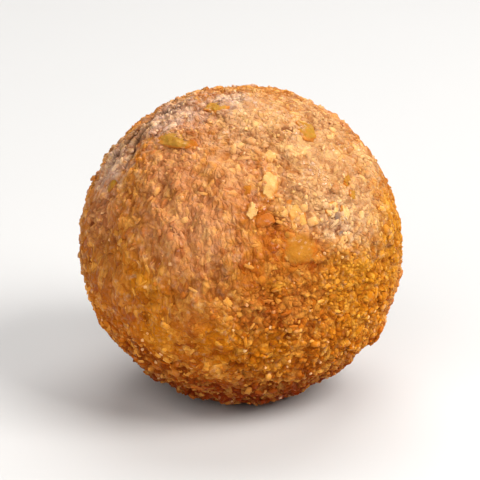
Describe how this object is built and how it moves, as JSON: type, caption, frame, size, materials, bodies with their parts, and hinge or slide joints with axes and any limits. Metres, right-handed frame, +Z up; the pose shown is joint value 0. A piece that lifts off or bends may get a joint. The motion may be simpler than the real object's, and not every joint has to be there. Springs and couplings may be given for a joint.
{
  "type": "coconut ladoo",
  "caption": "Hand-rolled ball sweet of pressed brown coconut crumb with pale chips, on a small flat underside.",
  "frame": {"origin": "middle of the flat spot under the ball, below the middle of the ball's outline", "axes": "+Z up through the ball; +X to the right and -Y towards the viewer of the shown side"},
  "size_m": [0.0406, 0.04, 0.0391],
  "materials": {
    "crumb": "moist pressed crumb, satin"
  },
  "bodies": {
    "root": {"ladoo": "crumb"}
  },
  "joints": []
}
